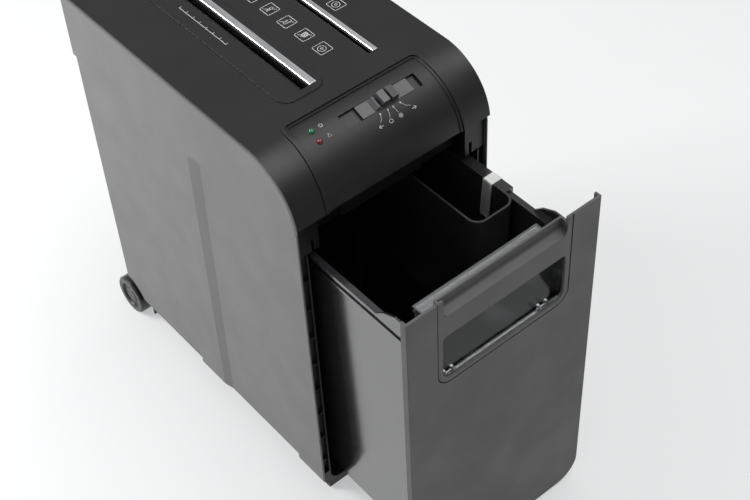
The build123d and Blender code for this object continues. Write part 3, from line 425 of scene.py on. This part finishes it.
def clip_glyph(bm, place):
    """Paper clip: a long loop with a short one inside."""
    long_loop = circle_points(0, 2 * MM, 1.7 * MM, 10, 0, 0.5) + [(-1.7 * MM, -3 * MM)]
    short_loop = circle_points(-0.4 * MM, -3 * MM, 1.3 * MM, 10, math.pi, 0.5)
    add_stroke(bm, [(1.7 * MM, -2 * MM)] + long_loop + short_loop, LINE, place)


def hand_glyph(bm, place):
    for k in range(4):
        u = (k - 1.5) * 1.5 * MM
        add_stroke(bm, [(u, -2.6 * MM), (u, (2.4 + (k % 3) * 0.7) * MM)], LINE * 1.6, place)
    add_stroke(bm, [(-3 * MM, -3.2 * MM), (3 * MM, -3.2 * MM)], LINE * 1.6, place)


def tie_glyph(bm, place):
    outline = [(-0.9, 4), (0.9, 4), (0.5, 2.6), (1.5, -2.4), (0, -4.2), (-1.5, -2.4), (-0.5, 2.6)]
    add_stroke(bm, [(u * MM, v * MM) for u, v in outline], LINE, place, closed=True)


def drop_glyph(bm, place):
    bowl = circle_points(0, -1 * MM, 2.6 * MM, 14, 2.6, -0.86)
    add_stroke(bm, [(0, 4.2 * MM)] + bowl, LINE, place, closed=True)


def disc_glyph(bm, place):
    add_stroke(bm, circle_points(0, 0.6 * MM, 3.8 * MM, 24), LINE, place, closed=True)
    add_stroke(bm, circle_points(0, 0.6 * MM, 1.1 * MM, 12), LINE, place, closed=True)


def top_icon(name, glyph, u, v):
    """Framed pictogram on the flat top, read from the left side of the machine."""
    def place(a, b, height):
        return on_top(u - b, v + a, height)

    def build(bm):
        add_stroke(bm, rounded_square(ICON_HALF, 1.2 * MM), LINE, place, closed=True)
        glyph(bm, place)
    return mesh_piece(name, build, "cabinet", PRINT, smooth=False)


def build_prints():
    """Pictograms on the top and a plain scale beside the paper slot."""
    glyphs = [disc_glyph, barred(hand_glyph), barred(clip_glyph), barred(tie_glyph), sheet_glyph]
    glyphs.append(barred(drop_glyph))
    for i, glyph in enumerate(glyphs):
        top_icon(f"top_icon_{i + 1}", glyph, ICON_U, FIRST_ICON_V + i * ICON_PITCH)
    top_icon("disc_slot_icon", disc_glyph, CD_ICON_U, FIRST_ICON_V + 1.6 * ICON_PITCH)

    def guide(bm):
        add_stroke(bm, [(SCALE_U, SCALE_START * MM), (SCALE_U, SCALE_END * MM)], LINE, on_plate)
        for v in range(SCALE_START, SCALE_END + 1, SCALE_STEP):
            add_stroke(bm, [(SCALE_U, v * MM), (SCALE_U + SCALE_TICK, v * MM)], LINE * 0.8, on_plate)
    mesh_piece("paper_width_mark", guide, "cabinet", PRINT, smooth=False)


TICKS = {"reverse": 6.8, "off": 15.0, "auto": 20.8, "forward": 28.4}
SYMBOLS = {"reverse": 1.5, "off": 12.0, "auto": 22.5, "forward": 37.0}
TICK_TURN = 31.3
SYMBOL_TURN = 41.0


def arrow(bm, place, way):
    add_stroke(bm, [(-2.2 * MM * way, 0), (1.6 * MM * way, 0)], LINE * 1.2, place)
    head = [(0.2 * MM * way, 1.5 * MM), (2.2 * MM * way, 0), (0.2 * MM * way, -1.5 * MM)]
    add_stroke(bm, head, LINE * 1.2, place)


def build_slider_marks():
    """Four dots with leader lines down to a generic symbol each."""
    def build(bm):
        for name, u in TICKS.items():
            dot = field_place(u * MM, TICK_TURN)
            add_dot(bm, 0, 0, 0.75 * MM, dot)
            shift = (SYMBOLS[name] - u) * MM
            add_stroke(bm, [(0, 0), (0.35 * shift, -4.5 * MM), (0.8 * shift, -6.5 * MM)], 0.3 * MM, dot)
            mark = field_place(SYMBOLS[name] * MM, SYMBOL_TURN)
            if name in ("reverse", "forward"):
                arrow(bm, mark, -1 if name == "reverse" else 1)
            else:
                add_stroke(bm, circle_points(0, 0, 1.7 * MM), LINE, mark, closed=True)
            if name == "auto":
                add_dot(bm, 0, 0, 0.7 * MM, mark)
    mesh_piece("slider_marks", build, "cabinet", PRINT, smooth=False)

    def lamp_marks(bm):
        power = field_place(-42.5 * MM, 13.0)
        add_stroke(bm, circle_points(0, 0, 1.6 * MM, 16, 2.2, 0.8), LINE, power)
        add_stroke(bm, [(0, 0.4 * MM), (0, 2.2 * MM)], LINE, power)
        heat = field_place(-42.0 * MM, 24.5)
        triangle = [(-1.8 * MM, -1.5 * MM), (1.8 * MM, -1.5 * MM), (0, 1.8 * MM)]
        add_stroke(bm, triangle, LINE, heat, closed=True)
    mesh_piece("lamp_marks", lamp_marks, "cabinet", PRINT, smooth=False)


# --- small mouldings of the window and a painted glint on its ledge ------------------
def build_window_clips():
    """Two clear snap prongs on the tray's ledge and a pale strip between them that is a painted glint along
    the ledge's front edge.
    """
    def prong(u0):
        def build(bm):
            for u in (u0, u0 + 8.5 * MM):
                add_box(bm, (u, 0.7 * MM, 1.6 * MM), (u + 2.6 * MM, 3.4 * MM, 9.5 * MM), bevel=0.5 * MM)
            add_box(bm, (u0 + 1 * MM, 1.2 * MM, 1.6 * MM), (u0 + 10 * MM, 2.6 * MM, 5.4 * MM), bevel=0.4 * MM)
            for vert in bm.verts:
                vert.co = on_tray(vert.co.x, vert.co.y, vert.co.z)
        return build
    mesh_piece("left_window_prong", prong(-65 * MM), "bin", CLEAR_EDGE)
    mesh_piece("right_window_prong", prong(41 * MM), "bin", CLEAR_EDGE)

    # Painted glint: a thin pale strip standing for the bright line along the ledge's front edge.
    def glint_strip(bm):
        low, high = on_tray(-50 * MM, 1.2 * MM, 1.7 * MM), on_tray(40 * MM, 2.0 * MM, 2.6 * MM)
        add_box(bm, low, high, bevel=0.35 * MM)
    mesh_piece("window_ledge_glint", glint_strip, "bin", CLEAR_EDGE)


# --- stage, light and camera ----------------------------------------------------------------------
FLOOR_REACH = 14.0
FLOOR_GLOW = 0.45
FLOOR_BOUNCE = 0.24
WORLD_DIM = 0.14
WORLD_BRIGHT = 0.52
FOCAL_MM = 71.4
CAMERA_AZIMUTH = -37.535
CAMERA_ELEVATION = 46.379
CAMERA_ROLL = -3.371
CAMERA_PLACE = Vector((-0.5636, -0.81555, 1.2335))


def build_stage():
    """Pale plain floor, a little brighter to the camera than the light it throws back on the object."""
    mesh = bpy.data.meshes.new("studio_floor")
    corners = [(x * FLOOR_REACH, y * FLOOR_REACH, 0) for x, y in ((-1, -1), (1, -1), (1, 1), (-1, 1))]
    mesh.from_pydata(corners, [], [(0, 1, 2, 3)])
    floor = bpy.data.objects.new("studio_floor", mesh)
    bpy.context.scene.collection.objects.link(floor)
    recipe = Recipe("studio_floor")
    tone = recipe.mixed(recipe.noise(1.5), (0.38, 0.38, 0.378), (0.42, 0.42, 0.42))
    recipe.link(tone, recipe.shader.inputs["Base Color"])
    recipe.shader.inputs["Roughness"].default_value = 0.9
    recipe.shader.inputs["Specular IOR Level"].default_value = 0.1
    recipe.shader.inputs["Emission Color"].default_value = (0.98, 0.99, 1.0, 1.0)
    bounced = recipe.add("ShaderNodeLightPath").outputs["Is Diffuse Ray"]
    glow = recipe.ranged(bounced, 0.0, 1.0, FLOOR_GLOW, FLOOR_BOUNCE)
    recipe.link(glow, recipe.shader.inputs["Emission Strength"])
    mesh.materials.append(recipe.material)


def softbox(name, place, target, size, power, colour=(1, 1, 1)):
    light = bpy.data.lights.new(name, "AREA")
    light.shape = "RECTANGLE"
    light.size, light.size_y = size
    light.energy = power
    light.color = colour
    lamp = bpy.data.objects.new(name, light)
    lamp.location = place
    lamp.rotation_euler = (Vector(target) - Vector(place)).to_track_quat("-Z", "Y").to_euler()
    bpy.context.scene.collection.objects.link(lamp)


def build_light():
    """Soft studio: bright above and to the rear left, dimmer in front, with a pale backdrop."""
    world = bpy.data.worlds.new("studio")
    bpy.context.scene.world = world
    world.use_nodes = True
    nodes, links = world.node_tree.nodes, world.node_tree.links
    backdrop = nodes["Background"]
    way = nodes.new("ShaderNodeTexCoord").outputs["Generated"]
    towards = nodes.new("ShaderNodeVectorMath")
    towards.operation = "DOT_PRODUCT"
    towards.inputs[1].default_value = Vector((-0.62, 0.45, 0.64)).normalized()
    links.new(way, towards.inputs[0])
    ramp = nodes.new("ShaderNodeMapRange")
    span = {"From Min": -0.5, "From Max": 0.95, "To Min": WORLD_DIM, "To Max": WORLD_BRIGHT}
    for key, number in span.items():
        ramp.inputs[key].default_value = number
    links.new(towards.outputs["Value"], ramp.inputs["Value"])
    links.new(ramp.outputs["Result"], backdrop.inputs["Strength"])
    backdrop.inputs["Color"].default_value = (0.97, 0.985, 1.0, 1.0)
    seen = nodes.new("ShaderNodeBackground")
    seen.inputs["Color"].default_value = (0.86, 0.87, 0.88, 1.0)
    choose = nodes.new("ShaderNodeMixShader")
    links.new(nodes.new("ShaderNodeLightPath").outputs["Is Camera Ray"], choose.inputs["Fac"])
    links.new(backdrop.outputs["Background"], choose.inputs[1])
    links.new(seen.outputs["Background"], choose.inputs[2])
    links.new(choose.outputs["Shader"], nodes["World Output"].inputs["Surface"])
    softbox("key_left", (-0.95, 0.95, 0.95), (0, 0.1, 0.3), (0.6, 0.6), 22)
    softbox("overhead", (0.5, -0.4, 2.3), (0.2, 0, 0.3), (2.0, 1.4), 34)
    bpy.context.scene.view_settings.view_transform = "Standard"
    bpy.context.scene.view_settings.look = "None"


def build_camera():
    """Camera in front, to the left and above, turned by its azimuth, elevation and roll in degrees."""
    a, e, r = (math.radians(v) for v in (CAMERA_AZIMUTH, CAMERA_ELEVATION, CAMERA_ROLL))
    back = Vector((math.sin(a) * math.cos(e), -math.cos(a) * math.cos(e), math.sin(e)))
    level = Vector((math.cos(a), math.sin(a), 0))
    upright = back.cross(level)
    right = math.cos(r) * level + math.sin(r) * upright
    up = math.cos(r) * upright - math.sin(r) * level
    turn = Matrix((right, up, back)).transposed().to_4x4()
    data = bpy.data.cameras.new("camera")
    data.lens = FOCAL_MM
    data.sensor_width = 36.0
    data.clip_start = 0.05
    camera = bpy.data.objects.new("camera", data)
    camera.matrix_world = Matrix.Translation(CAMERA_PLACE) @ turn
    bpy.context.scene.collection.objects.link(camera)
    bpy.context.scene.camera = camera


build_camera()
build_stage()
build_light()
dress_nodes()
build_prints()
build_slider_marks()
build_window_clips()
